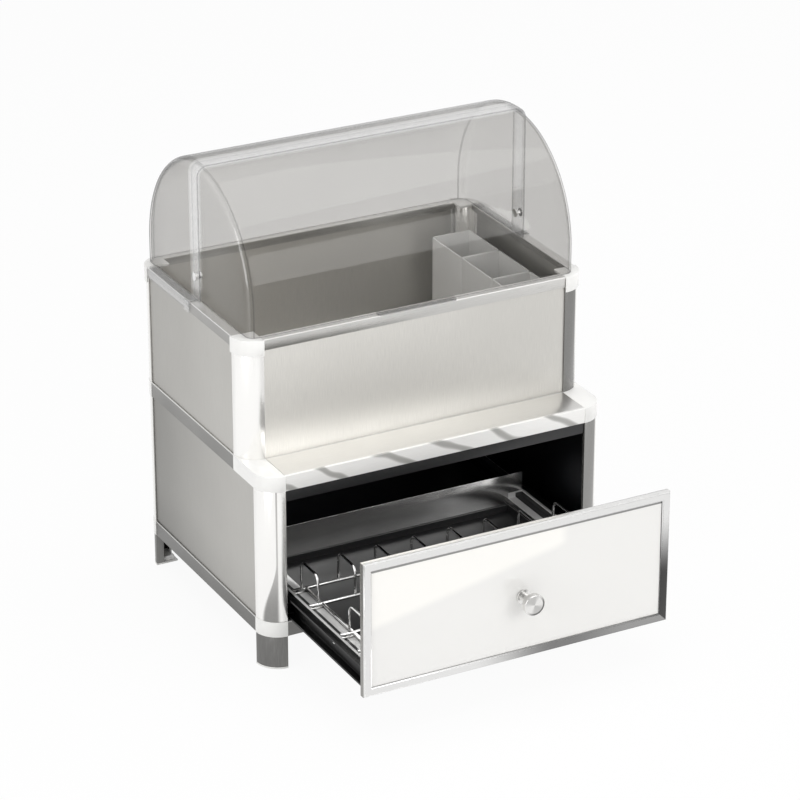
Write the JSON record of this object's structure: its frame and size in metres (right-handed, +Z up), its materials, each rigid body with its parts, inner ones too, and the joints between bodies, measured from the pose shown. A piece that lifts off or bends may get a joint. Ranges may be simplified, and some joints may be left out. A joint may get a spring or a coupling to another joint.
{
  "type": "dish storage cabinet",
  "caption": "Two-tier dish storage cabinet with a hinged clear barrel lid over a plate tank and a framed bowl drawer on ball slides.",
  "frame": {"origin": "middle of the footprint of the four feet, on the floor", "axes": "+X to the right seen from the front, +Y to the back, +Z up"},
  "size_m": [0.4242, 0.5185, 0.527],
  "materials": {
    "polished_aluminium": "polished",
    "brushed_aluminium": "brushed",
    "stainless_sheet": "brushed",
    "white_plastic": "gloss",
    "black_plastic": "satin",
    "black_steel": "black zinc",
    "clear_plastic": "clear",
    "steel_wire": "polished wire",
    "bright_steel": "ground",
    "white_glass": "back-painted white",
    "satin_knob": "satin",
    "holder_plastic": "gloss"
  },
  "bodies": {
    "cabinet": {"base_connectors": "white_plastic", "base_panel": "stainless_sheet", "base_rail_back": "brushed_aluminium", "base_rail_front": "brushed_aluminium", "base_rail_left": "brushed_aluminium", "base_rail_right": "brushed_aluminium", "drawer_stop_strip": "black_plastic", "feet": "brushed_aluminium", "foot_pads": "white_plastic", "ledge_connectors": "white_plastic", "ledge_plate": "stainless_sheet", "ledge_rail_back": "brushed_aluminium", "ledge_rail_front": "brushed_aluminium", "ledge_rail_left": "brushed_aluminium", "ledge_rail_middle": "brushed_aluminium", "ledge_rail_right": "brushed_aluminium", "lid_pins": "bright_steel", "lower_panel_back": "stainless_sheet", "lower_panel_left": "stainless_sheet", "lower_panel_right": "stainless_sheet", "lower_post_back_left": "polished_aluminium", "lower_post_back_right": "polished_aluminium", "lower_post_front_left": "polished_aluminium", "lower_post_front_right": "polished_aluminium", "plate_rack": "steel_wire", "rear_lid": "clear_plastic", "rim_caps": "white_plastic", "rim_rail_back": "brushed_aluminium", "rim_rail_front": "brushed_aluminium", "rim_rail_left": "brushed_aluminium", "rim_rail_right": "brushed_aluminium", "slide_brackets": "black_steel", "slide_rail_left": "black_steel", "slide_rail_right": "black_steel", "tank_floor": "stainless_sheet", "upper_panel_back": "stainless_sheet", "upper_panel_front": "stainless_sheet", "upper_panel_left": "stainless_sheet", "upper_panel_right": "stainless_sheet", "upper_post_back_left": "polished_aluminium", "upper_post_back_right": "polished_aluminium", "upper_post_front_left": "polished_aluminium", "upper_post_front_right": "polished_aluminium", "utensil_holder": "holder_plastic"},
    "drawer": {"bowl_rack": "steel_wire", "drawer_frame": "polished_aluminium", "drawer_glass": "white_glass", "drawer_knob": "satin_knob", "drawer_tray": "stainless_sheet", "drip_pan": "black_plastic", "slide_channel_left": "black_steel", "slide_channel_right": "black_steel"},
    "ball_cages": {"ball_cages": "bright_steel", "slide_balls": "bright_steel"},
    "front_lid": {"front_lid": "clear_plastic"}
  },
  "joints": [
    {"name": "drawer_slide", "type": "slide", "parent": "cabinet", "child": "drawer", "axis": [0, -1, 0], "range_m": [-0.1706, 0.03]},
    {"name": "cage_slide", "type": "slide", "parent": "cabinet", "child": "ball_cages", "axis": [0, -1, 0], "range_m": [-0.0853, 0.015]},
    {"name": "lid_hinge", "type": "hinge", "parent": "cabinet", "child": "front_lid", "pos_m": [0, 0.024, 0.397], "axis": [-1, 0, 0], "range_deg": [0, 90]}
  ],
  "couplings": [
    {"joint": "cage_slide", "follows": "drawer_slide", "ratio": 0.5}
  ]
}
